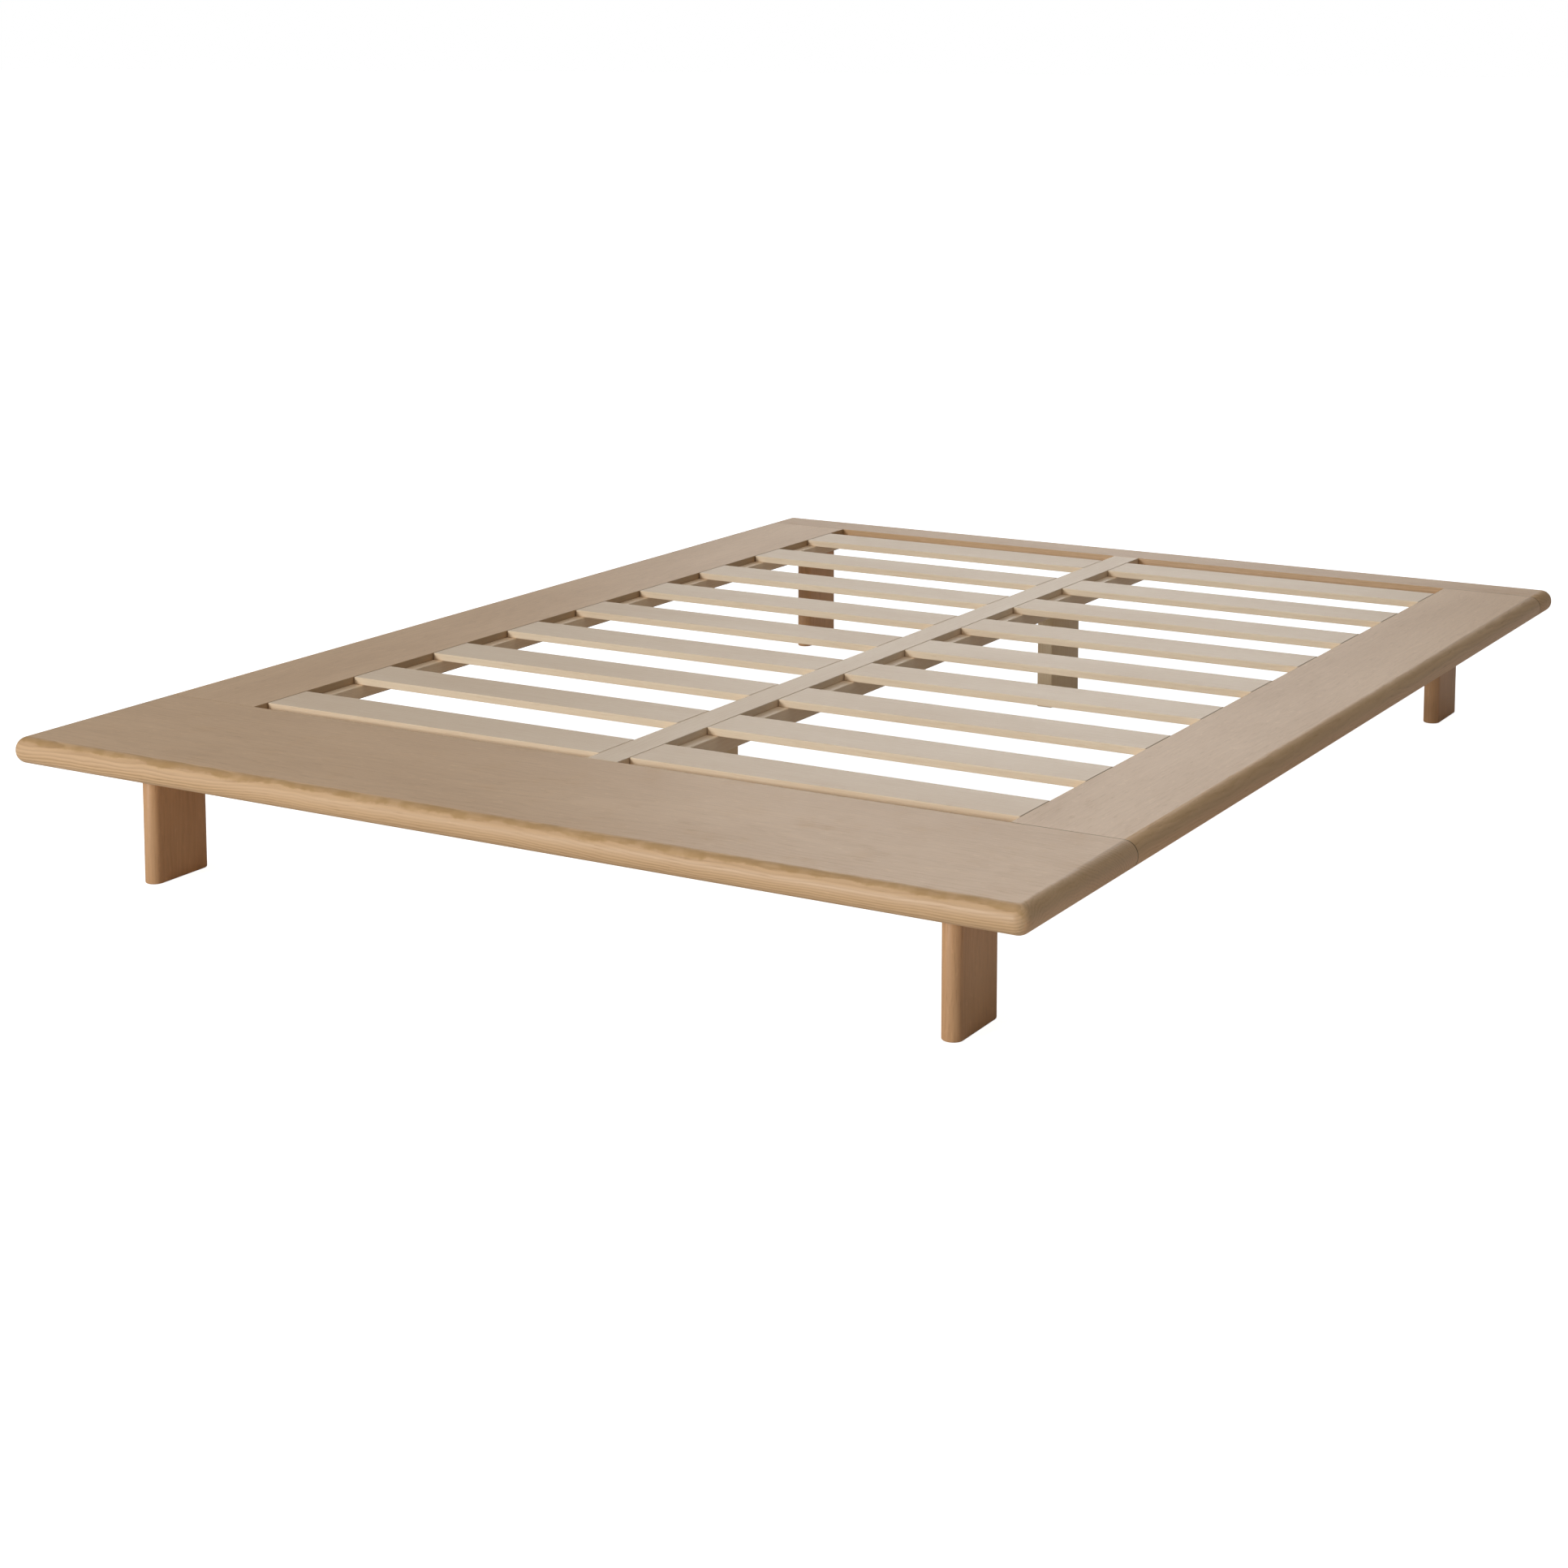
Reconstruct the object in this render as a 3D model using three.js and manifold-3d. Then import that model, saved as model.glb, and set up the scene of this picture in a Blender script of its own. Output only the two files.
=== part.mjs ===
// Low wooden bed frame: a border of four wide boards on six legs, with two columns of slats let in
// flush between the side rails and a centre beam.
// Millimetres, +Z up. The origin is on the floor under the middle of the frame. +X is the right
// side, -Y is the front, where the widest board is, and +Y is the back.

import * as THREE from 'three';
import { mergeVertices } from 'three/addons/utils/BufferGeometryUtils.js';
import Module from 'manifold-3d';

const wasm = await Module();
wasm.setup();

// Driving dimensions.
const frameWidth = 1670;
const frameLength = 2310;
const frameHeight = 230;
const boardThickness = 40;
const frontRailWidth = 335;
const backRailWidth = 93;
const sideRailWidth = 183;
const noseRadius = 19.5;          // half-round outer edge, with a 1 mm flat in its middle
const cornerRadius = 20;          // corner of the border seen from above
const slatThickness = 12;
const slatWidth = 93.5;
const slatPitch = 212.2;
const slatsPerColumn = 9;
const firstSlatGap = 32;          // from the front rail to the first slat
const slatEndGap = 1;
const slatEase = 1;               // chamfer along a slat's edges
const ledgerSize = 20;
const stripWidth = 52;
const beamWidth = 92;
const beamTenon = { width: 60, height: 12, length: 25 };
const legLength = 122;            // along Y
const legThickness = 30;
const cornerLegFromSide = 162;    // leg's centre from the outer side edge
const frontLegFromEnd = 175;
const backLegFromEnd = 171;
const centreLegFromFront = 628;   // leg's centre from the front edge
const centreLegFromBack = 414;
const looseTenon = { width: 90, height: 12, length: 60 };
const plate = { width: 40, length: 120, thickness: 3 };
const screw = { headRadius: 6, shaftRadius: 3, length: 27, spacing: 70 };
const stud = { radius: 4, length: 60, intoLeg: 38, spacing: 70 };
const clearance = 0.3;

// Worked out from them.
const top = frameHeight;
const underside = frameHeight - boardThickness;
const slatSeat = top - slatThickness;
const outerX = frameWidth / 2;
const innerX = outerX - sideRailWidth;
const frontY = -frameLength / 2;
const backY = frameLength / 2;
const innerFrontY = frontY + frontRailWidth;
const innerBackY = backY - backRailWidth;
const openingLength = innerBackY - innerFrontY;
const openingMidY = (innerFrontY + innerBackY) / 2;
const railMidX = (outerX + innerX) / 2;
const slatLength = innerX - stripWidth / 2 - 2 * slatEndGap;
const slatMidX = (innerX + stripWidth / 2) / 2;
const firstSlatY = innerFrontY + firstSlatGap + slatWidth / 2;
const legHeight = underside;
const legX = outerX - cornerLegFromSide;

const sides = { left: -1, right: 1 };
const ends = {
  front: { joint: innerFrontY, legY: frontY + frontLegFromEnd, outward: -1 },
  back: { joint: innerBackY, legY: backY - backLegFromEnd, outward: 1 },
};
const centreLegs = { front: frontY + centreLegFromFront, back: backY - centreLegFromBack };

// Each end of every side, as "front_left" and so on.
const corners = Object.entries(ends).flatMap(([end, place]) =>
  Object.entries(sides).map(([side, sign]) => ({ name: `${end}_${side}`, sign, ...place })));

const oak = (hex) => new THREE.MeshStandardMaterial({ color: hex, roughness: 0.6, metalness: 0 });
const materials = {
  border: oak(0xb8a48f),
  slat: oak(0xc6b6a2),
  beam: oak(0xc4b39c),
  leg: oak(0xb39470),
  ledger: oak(0x9c8263),
  tenon: oak(0xc9a878),
  steel: new THREE.MeshStandardMaterial({ color: 0x9a9da1, roughness: 0.4, metalness: 1 }),
};

// A closed geometry as a manifold solid, and back.
function toSolid(geometry) {
  const bare = geometry.clone();
  bare.deleteAttribute('normal');
  bare.deleteAttribute('uv');
  const merged = mergeVertices(bare, 1e-3);
  return new wasm.Manifold(new wasm.Mesh({
    numProp: 3,
    vertProperties: new Float32Array(merged.attributes.position.array),
    triVerts: new Uint32Array(merged.index.array),
  }));
}

function toGeometry(solid) {
  const mesh = solid.getMesh();
  const geometry = new THREE.BufferGeometry();
  geometry.setAttribute('position', new THREE.BufferAttribute(mesh.vertProperties, 3));
  geometry.setIndex(new THREE.BufferAttribute(mesh.triVerts, 1));
  geometry.computeVertexNormals();
  return geometry;
}

function box(sizeX, sizeY, sizeZ, x, y, z) {
  return new THREE.BoxGeometry(sizeX, sizeY, sizeZ).translate(x, y, z);
}

function uprightCylinder(radius, bottom, height, x, y) {
  return new THREE.CylinderGeometry(radius, radius, height, 24)
    .rotateX(Math.PI / 2).translate(x, y, bottom + height / 2);
}

// A flat bar with half-round edges, centred, lying along Y. Its size grows by margin all round.
function roundedTenon({ width, height, length }, margin = 0) {
  const radius = height / 2 + margin;
  const reach = width / 2 - height / 2;
  const outline = new THREE.Shape();
  outline.absarc(reach, 0, radius, -Math.PI / 2, Math.PI / 2, false);
  outline.absarc(-reach, 0, radius, Math.PI / 2, 1.5 * Math.PI, false);
  const depth = length + 2 * margin;
  return new THREE.ExtrudeGeometry(outline, { depth, bevelEnabled: false, curveSegments: 8 })
    .translate(0, 0, -depth / 2).rotateX(Math.PI / 2);
}

// A lathe profile of [radius, height] pairs, turned to stand along +Z.
function turned(profile, segments = 20) {
  const points = profile.map(([radius, height]) => new THREE.Vector2(radius, height));
  return new THREE.LatheGeometry(points, segments).rotateX(Math.PI / 2).rotateZ(Math.PI);
}

// The whole border as one slab with a half-round outer edge, before it is cut into boards.
function borderSlab() {
  const x = outerX - cornerRadius;
  const y = backY - cornerRadius;
  const outline = new THREE.Shape();
  outline.absarc(x, -y, cornerRadius, -Math.PI / 2, 0, false);
  outline.absarc(x, y, cornerRadius, 0, Math.PI / 2, false);
  outline.absarc(-x, y, cornerRadius, Math.PI / 2, Math.PI, false);
  outline.absarc(-x, -y, cornerRadius, Math.PI, 1.5 * Math.PI, false);
  return new THREE.ExtrudeGeometry(outline, {
    depth: boardThickness - 2 * noseRadius,
    bevelThickness: noseRadius,
    bevelSize: noseRadius,
    bevelOffset: -noseRadius,
    bevelSegments: 8,
    curveSegments: 6,
  }).translate(0, 0, underside + noseRadius);
}

const plateCentre = ({ sign, joint }) => [sign * railMidX, joint, underside + plate.thickness / 2];
const tenonHeight = underside + 24;
const beamTenonHeight = (underside + slatSeat) / 2;
const screwY = ({ joint }) => [joint - screw.spacing / 2, joint + screw.spacing / 2];
const studY = (legY) => [legY - stud.spacing / 2, legY + stud.spacing / 2];
const studBottom = underside - stud.intoLeg;

// Room for the screws and the studs, at every place given.
function boltHoles(radius, bottom, length, places) {
  return places.map(([x, y]) =>
    toSolid(uprightCylinder(radius + clearance, bottom, length + clearance, x, y)));
}

const studPlaces = [
  ...corners.flatMap((corner) => studY(corner.legY).map((y) => [corner.sign * legX, y])),
  ...Object.values(centreLegs).flatMap((legY) => studY(legY).map((y) => [0, y])),
];
const screwPlaces = corners.flatMap((corner) =>
  screwY(corner).map((y) => [corner.sign * railMidX, y]));

// Everything that is cut out of the four boards.
function boardCuts() {
  const grow = 2 * clearance;
  const cuts = [
    ...boltHoles(stud.radius, studBottom, stud.length, studPlaces),
    ...boltHoles(screw.shaftRadius, underside, screw.length, screwPlaces),
  ];
  for (const corner of corners) {
    const [x, y, z] = plateCentre(corner);
    cuts.push(toSolid(box(plate.width + grow, plate.length + grow, plate.thickness + grow, x, y, z)));
    cuts.push(toSolid(roundedTenon(looseTenon, clearance).translate(x, y, tenonHeight)));
  }
  for (const { joint } of Object.values(ends)) {
    const { width, height, length } = beamTenon;
    cuts.push(toSolid(box(width + grow, 2 * length + grow, height + grow, 0, joint, beamTenonHeight)));
  }
  return wasm.Manifold.union(cuts);
}

function borderBoards() {
  const slab = toSolid(borderSlab());
  const cuts = boardCuts();
  const middle = frameHeight - boardThickness / 2;
  const spare = 10;               // each cutting block stands this far past the slab
  const cutBoard = (sizeX, sizeY, x, y) => {
    const block = toSolid(box(sizeX, sizeY, boardThickness + spare, x, y, middle));
    return toGeometry(slab.intersect(block).subtract(cuts));
  };
  const endBoard = (width, outward) =>
    cutBoard(frameWidth + spare, width + spare, 0, outward * (backY + (spare - width) / 2));
  const sideBoard = (sign) =>
    cutBoard(sideRailWidth + spare, openingLength, sign * (railMidX + spare / 2), openingMidY);
  return {
    front_rail: endBoard(frontRailWidth, -1),
    back_rail: endBoard(backRailWidth, 1),
    left_rail: sideBoard(-1),
    right_rail: sideBoard(1),
  };
}

// A plank with a tenon at each end, bored for the centre legs' studs.
function centreBeam() {
  const height = slatSeat - underside;
  const plank = toSolid(box(beamWidth, openingLength, height, 0, openingMidY, beamTenonHeight));
  const tongue = toSolid(box(beamTenon.width, openingLength + 2 * beamTenon.length, beamTenon.height,
    0, openingMidY, beamTenonHeight));
  const holes = boltHoles(stud.radius, studBottom, stud.length, studPlaces);
  return toGeometry(plank.add(tongue).subtract(wasm.Manifold.union(holes)));
}

// A slat lying along X, centred, with eased edges.
function slatGeometry() {
  const y = slatWidth / 2;
  const z = slatThickness / 2;
  const section = [
    [y - slatEase, -z], [y, -z + slatEase], [y, z - slatEase], [y - slatEase, z],
    [-y + slatEase, z], [-y, z - slatEase], [-y, -z + slatEase], [-y + slatEase, -z],
  ].map(([across, up]) => new THREE.Vector2(across, up));
  return new THREE.ExtrudeGeometry(new THREE.Shape(section), { depth: slatLength, bevelEnabled: false })
    .translate(0, 0, -slatLength / 2).rotateX(Math.PI / 2).rotateZ(Math.PI / 2);
}

// A leg from the floor up, centred in plan, with two holes in its top for the studs.
function legGeometry(outline) {
  const depth = legHeight;
  const body = new THREE.ExtrudeGeometry(outline, { depth, bevelEnabled: false, curveSegments: 12 });
  const places = studY(0).map((y) => [0, y]);
  const holes = boltHoles(stud.radius, studBottom - clearance, stud.length, places);
  return toGeometry(toSolid(body).subtract(wasm.Manifold.union(holes)));
}

function ovalOutline() {
  const radius = legThickness / 2;
  const reach = legLength / 2 - radius;
  const outline = new THREE.Shape();
  outline.absarc(0, reach, radius, 0, Math.PI, false);
  outline.absarc(0, -reach, radius, Math.PI, 2 * Math.PI, false);
  return outline;
}

function squareOutline() {
  const x = legThickness / 2;
  const y = legLength / 2;
  return new THREE.Shape([[-x, -y], [x, -y], [x, y], [-x, y]].map(([a, b]) => new THREE.Vector2(a, b)));
}

// A flat steel plate with two countersunk holes, centred.
function plateGeometry() {
  const half = plate.thickness / 2;
  const body = toSolid(box(plate.width, plate.length, plate.thickness, 0, 0, 0));
  const sink = [
    [0, -half - 1], [screw.headRadius + clearance, -half - 1], [screw.headRadius + clearance, -half],
    [screw.shaftRadius + clearance, half], [screw.shaftRadius + clearance, half + 1], [0, half + 1],
  ];
  const holes = screwY({ joint: 0 }).map((y) => toSolid(turned(sink, 24).translate(0, y, 0)));
  return toGeometry(body.subtract(wasm.Manifold.union(holes)));
}

// A countersunk screw standing head down on Z = 0.
function screwGeometry() {
  const tip = 1;
  return turned([
    [0, 0], [screw.headRadius, 0], [screw.shaftRadius, plate.thickness],
    [screw.shaftRadius, screw.length - tip], [screw.shaftRadius - tip, screw.length], [0, screw.length],
  ]);
}

// A headless stud standing on Z = 0, with a chamfer at each end.
function studGeometry() {
  const tip = 1;
  return turned([
    [0, 0], [stud.radius - tip, 0], [stud.radius, tip],
    [stud.radius, stud.length - tip], [stud.radius - tip, stud.length], [0, stud.length],
  ]);
}

const bed = new THREE.Group();

function place(parent, name, geometry, material, x = 0, y = 0, z = 0) {
  const mesh = new THREE.Mesh(geometry, material);
  mesh.name = name;
  mesh.position.set(x, y, z);
  parent.add(mesh);
}

function addBorder() {
  for (const [name, geometry] of Object.entries(borderBoards())) {
    place(bed, name, geometry, materials.border);
  }
}

function addSlatSupports() {
  place(bed, 'centre_beam', centreBeam(), materials.beam);
  place(bed, 'centre_strip', box(stripWidth, openingLength, slatThickness, 0, 0, 0), materials.beam,
    0, openingMidY, slatSeat + slatThickness / 2);
  for (const [side, sign] of Object.entries(sides)) {
    place(bed, `ledger_${side}`, box(ledgerSize, openingLength, ledgerSize, 0, 0, 0), materials.ledger,
      sign * (innerX - ledgerSize / 2), openingMidY, slatSeat - ledgerSize / 2);
  }
}

function addSlats() {
  const geometry = slatGeometry();
  for (const [side, sign] of Object.entries(sides)) {
    const column = new THREE.Group();
    column.position.set(sign * slatMidX, firstSlatY, slatSeat + slatThickness / 2);
    for (let row = 0; row < slatsPerColumn; row += 1) {
      place(column, `slat_${side}_${row + 1}`, geometry, materials.slat, 0, row * slatPitch);
    }
    bed.add(column);
  }
}

// A leg and its two studs, which stand half in the leg and half in the board above it.
function addLeg(name, geometry, x, y) {
  const leg = new THREE.Group();
  leg.position.set(x, y, 0);
  place(leg, name, geometry, materials.leg);
  for (const [index, offset] of studY(0).entries()) {
    place(leg, `${name}_stud_${index + 1}`, studGeometry(), materials.steel, 0, offset, studBottom);
  }
  bed.add(leg);
}

function addLegs() {
  const oval = legGeometry(ovalOutline());
  const square = legGeometry(squareOutline());
  for (const corner of corners) {
    addLeg(`leg_${corner.name}`, oval, corner.sign * legX, corner.legY);
  }
  for (const [end, y] of Object.entries(centreLegs)) {
    addLeg(`centre_leg_${end}`, square, 0, y);
  }
}

// At each corner a loose tenon inside the joint, and a screwed plate across it from below.
function addCornerJoints() {
  const flat = plateGeometry();
  for (const corner of corners) {
    const [x, y, z] = plateCentre(corner);
    place(bed, `corner_tenon_${corner.name}`, roundedTenon(looseTenon), materials.tenon, x, y, tenonHeight);
    place(bed, `corner_plate_${corner.name}`, flat, materials.steel, x, y, z);
    for (const [index, screwAt] of screwY(corner).entries()) {
      place(bed, `plate_screw_${corner.name}_${index + 1}`, screwGeometry(), materials.steel,
        x, screwAt, underside);
    }
  }
}

addBorder();
addSlatSupports();
addSlats();
addLegs();
addCornerJoints();

export default bed;
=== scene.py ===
import math

import bmesh
import bpy
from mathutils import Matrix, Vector


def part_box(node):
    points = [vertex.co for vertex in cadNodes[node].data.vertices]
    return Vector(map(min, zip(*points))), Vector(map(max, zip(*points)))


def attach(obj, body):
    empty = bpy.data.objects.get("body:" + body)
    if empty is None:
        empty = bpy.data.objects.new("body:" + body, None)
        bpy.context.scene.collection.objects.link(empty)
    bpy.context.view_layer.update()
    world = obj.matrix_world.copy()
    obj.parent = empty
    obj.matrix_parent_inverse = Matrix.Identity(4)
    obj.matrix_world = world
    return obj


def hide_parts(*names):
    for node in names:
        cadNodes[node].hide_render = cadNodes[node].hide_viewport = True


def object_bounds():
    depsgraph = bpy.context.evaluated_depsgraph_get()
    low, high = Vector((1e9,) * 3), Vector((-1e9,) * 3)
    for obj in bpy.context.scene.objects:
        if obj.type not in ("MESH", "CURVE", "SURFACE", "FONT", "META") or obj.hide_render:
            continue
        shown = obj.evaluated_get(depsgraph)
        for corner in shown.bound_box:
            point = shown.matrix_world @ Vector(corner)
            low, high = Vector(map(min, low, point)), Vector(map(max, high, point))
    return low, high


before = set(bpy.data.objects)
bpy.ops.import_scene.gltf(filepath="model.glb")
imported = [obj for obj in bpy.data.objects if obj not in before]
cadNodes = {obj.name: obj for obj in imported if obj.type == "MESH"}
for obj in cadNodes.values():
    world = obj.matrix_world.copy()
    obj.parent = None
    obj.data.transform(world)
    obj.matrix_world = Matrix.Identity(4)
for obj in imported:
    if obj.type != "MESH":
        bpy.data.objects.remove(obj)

cadLow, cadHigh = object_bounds()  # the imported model's own box, before anything is added
print("frame loaded,", len(cadNodes), "nodes")


# Small helpers for node trees, shader and geometry alike

def addNode(tree, kind, inputs=None, **settings):
    node = tree.nodes.new(kind)
    for name, value in settings.items():
        setattr(node, name, value)
    for name, value in (inputs or {}).items():
        feed(live(node.inputs, name), value)
    node.location = (200 * len(tree.nodes), -170 * (len(tree.nodes) % 5))
    return node


def feed(socket, value):
    # a socket takes a wire from another socket, or a plain value
    if isinstance(value, bpy.types.NodeSocket):
        socket.id_data.links.new(value, socket)
    else:
        socket.default_value = value


def live(sockets, name):
    # the socket of that name which the node's settings leave in use
    return next(s for s in sockets if s.name == name and s.enabled)


def calc(tree, operation, a, b=0.0, clamp=False):
    node = addNode(tree, "ShaderNodeMath", operation=operation, use_clamp=clamp)
    feed(node.inputs[0], a)
    feed(node.inputs[1], b)
    return node.outputs[0]


def product(tree, first, *others):
    for other in others:
        first = calc(tree, "MULTIPLY", first, other)
    return first


def total(tree, first, *others):
    for other in others:
        first = calc(tree, "ADD", first, other)
    return first


def minus(tree, a, b):
    return calc(tree, "SUBTRACT", a, b)


def calcVector(tree, operation, a, b=(0.0, 0.0, 0.0)):
    node = addNode(tree, "ShaderNodeVectorMath", operation=operation)
    feed(node.inputs[0], a)
    feed(node.inputs["Scale" if operation == "SCALE" else 1], b)
    return node.outputs[0]


def splitVector(tree, vector):
    return addNode(tree, "ShaderNodeSeparateXYZ", {"Vector": vector}).outputs


def rampValue(tree, value, low, high, start=0.0, end=1.0, smooth=True):
    inputs = {"Value": value, "From Min": low, "From Max": high, "To Min": start, "To Max": end}
    kind = "SMOOTHSTEP" if smooth else "LINEAR"
    return addNode(tree, "ShaderNodeMapRange", inputs, interpolation_type=kind).outputs["Result"]


def fadeOut(tree, value, low, high):
    return rampValue(tree, value, low, high, 1.0, 0.0)


def addNoise(tree, place, scale=1.0, detail=2.0, roughness=0.5):
    inputs = {"Vector": place, "Scale": scale, "Detail": detail, "Roughness": roughness}
    return addNode(tree, "ShaderNodeTexNoise", inputs).outputs["Fac"]


def stretchedNoise(tree, place, stretch, detail=2.0, roughness=0.5):
    return addNoise(tree, calcVector(tree, "MULTIPLY", place, stretch), 1.0, detail, roughness)


def mixColors(tree, share, a, b, blend="MIX"):
    inputs = {"Factor": share, "A": a, "B": b}
    node = addNode(tree, "ShaderNodeMix", inputs, data_type="RGBA", blend_type=blend)
    return live(node.outputs, "Result")


def startTree(name, kind, inputs, outputs):
    # a named group with its inputs and outputs, and the sockets to build between
    tree = bpy.data.node_groups.new(name, kind)
    for socketName, socketKind, value in inputs:
        item = tree.interface.new_socket(socketName, in_out="INPUT", socket_type="NodeSocket" + socketKind)
        if value is not None:
            item.default_value = value
    for socketName, socketKind in outputs:
        tree.interface.new_socket(socketName, in_out="OUTPUT", socket_type="NodeSocket" + socketKind)
    given = addNode(tree, "NodeGroupInput").outputs
    result = addNode(tree, "NodeGroupOutput").inputs
    return tree, given, result


# Shader groups that the woods share

noiseMean = 0.5

grainFigure = {
    "seedStep": (7.3, 3.1, 5.7),      # how far one seed moves the figure
    "plainDetail": 1.0,
    "fullDetail": 3.0,
    "slowBend": (1.6, 5.0, 5.0),      # noise along, across and up, per metre
    "slowShare": 5.0,
    "ripple": (9.0, 24.0, 24.0),
    "uneven": (0.2, 30.0, 30.0),
    "unevenRings": 2.0,
    "bandPeak": 0.15,                 # a ring is darkest here, in shares of its width
    "bandEnd": 0.85,
    "patches": (1.1, 16.0, 16.0),
    "patchSize": (0.3, 0.7),
    "patchLeast": 0.35,
    "fibre": (11.0, 250.0, 250.0),
    "fibreRoughness": 0.6,
    "fibreHeight": 0.5,
    "pores": (34.0, 800.0, 800.0),
    "poreSize": (0.60, 0.72),
    "poresInBand": 0.6,
    "flecks": (70.0, 190.0, 320.0),
    "fleckSize": (0.62, 0.75),
    "cloud": (2.4, 9.0, 9.0),
}


def makeGrainGroup():
    # Oak as a solid: the fibres run along X, and the growth rings circle the log's heart.
    tree, given, result = startTree(
        "oakGrain", "ShaderNodeTree",
        [("Grain Place", "Vector", None), ("Seed", "Float", 0.0), ("Ring Width", "Float", 0.004),
         ("Heart Across", "Float", 0.3), ("Heart Below", "Float", 0.1), ("Wander", "Float", 0.01)],
        [(name, "Float") for name in ("Rings", "Fibre", "Pores", "Flecks", "Cloud", "Height")],
    )
    figure = grainFigure
    plain, full = figure["plainDetail"], figure["fullDetail"]
    offset = addNode(tree, "ShaderNodeCombineXYZ")
    for socket, factor in zip(offset.inputs, figure["seedStep"]):
        feed(socket, calc(tree, "MULTIPLY", given["Seed"], factor))
    place = calcVector(tree, "ADD", given["Grain Place"], offset.outputs[0])
    # the log bends slowly along its length, with a small ripple on top
    slow = minus(tree, stretchedNoise(tree, place, figure["slowBend"], plain), noiseMean)
    ripple = minus(tree, stretchedNoise(tree, place, figure["ripple"]), noiseMean)
    bend = total(tree, product(tree, slow, figure["slowShare"]), ripple)
    _, y, z = splitVector(tree, given["Grain Place"])
    across = calc(tree, "POWER", minus(tree, y, given["Heart Across"]), 2.0)
    above = calc(tree, "POWER", total(tree, z, given["Heart Below"]), 2.0)
    radius = calc(tree, "SQRT", total(tree, across, above))
    radius = total(tree, radius, product(tree, bend, given["Wander"]))
    uneven = product(tree, stretchedNoise(tree, place, figure["uneven"], plain), figure["unevenRings"])
    share = calc(tree, "FRACT", total(tree, calc(tree, "DIVIDE", radius, given["Ring Width"]), uneven))
    # a ring opens with a porous band and fades into dense wood
    opening = rampValue(tree, share, 0.0, figure["bandPeak"])
    closing = fadeOut(tree, share, figure["bandPeak"], figure["bandEnd"])
    band = product(tree, opening, closing)
    patches = stretchedNoise(tree, place, figure["patches"], plain)
    strong = rampValue(tree, patches, *figure["patchSize"], figure["patchLeast"])
    feed(result["Rings"], product(tree, band, strong))
    fibre = stretchedNoise(tree, place, figure["fibre"], full, figure["fibreRoughness"])
    feed(result["Fibre"], fibre)
    dashes = rampValue(tree, stretchedNoise(tree, place, figure["pores"], plain), *figure["poreSize"])
    inBand = total(tree, product(tree, band, figure["poresInBand"]), 1 - figure["poresInBand"])
    pores = product(tree, dashes, inBand)
    feed(result["Pores"], pores)
    flecks = stretchedNoise(tree, place, figure["flecks"], plain)
    feed(result["Flecks"], rampValue(tree, flecks, *figure["fleckSize"]))
    feed(result["Cloud"], stretchedNoise(tree, place, figure["cloud"], full))
    feed(result["Height"], minus(tree, product(tree, fibre, figure["fibreHeight"]), pores))
    return tree


arrisPatches = {"scale": 45.0, "least": 0.5}


def makeEdgeGroup():
    # A point is on an arris where its two nearest sides are both close. The arrises are paler, by uneven
    # amounts along them.
    tree, given, result = startTree(
        "paleArrises", "ShaderNodeTree",
        [("Place", "Vector", None), ("Half Size", "Vector", None), ("Reach", "Float", 0.002)],
        [("Mask", "Float")],
    )
    inside = calcVector(tree, "ABSOLUTE", given["Place"])
    x, y, z = splitVector(tree, calcVector(tree, "SUBTRACT", given["Half Size"], inside))
    nearest = calc(tree, "MINIMUM", calc(tree, "MINIMUM", x, y), z)
    furthest = calc(tree, "MAXIMUM", calc(tree, "MAXIMUM", x, y), z)
    second = minus(tree, total(tree, x, y, z), total(tree, nearest, furthest))
    patchiness = total(tree, addNoise(tree, given["Place"], arrisPatches["scale"]), arrisPatches["least"])
    feed(result["Mask"], fadeOut(tree, second, 0.0, product(tree, given["Reach"], patchiness)))
    return tree


noseFigure = {               # places are in radii of the half-round edge, inwards or up from its middle
    "waveScale": 15.0,
    "waveDetail": 4.0,
    "waveRoughness": 0.62,
    "waveSize": 0.9,
    "noseEnd": (0.75, 1.05),
    "lineStart": (0.20, 0.36),
    "lineEnd": (0.66, 0.92),
    "lineAbove": (0.2, 0.5),
    "breakScale": 31.0,
    "breakSize": (0.35, 0.62),
    "breakLeast": 0.45,
    "paintedLightAbove": (-0.3, 0.1),
    "paintedLightEnd": (0.16, 0.30),
    "sideLightBelow": (-0.2, 0.5),
}


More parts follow.
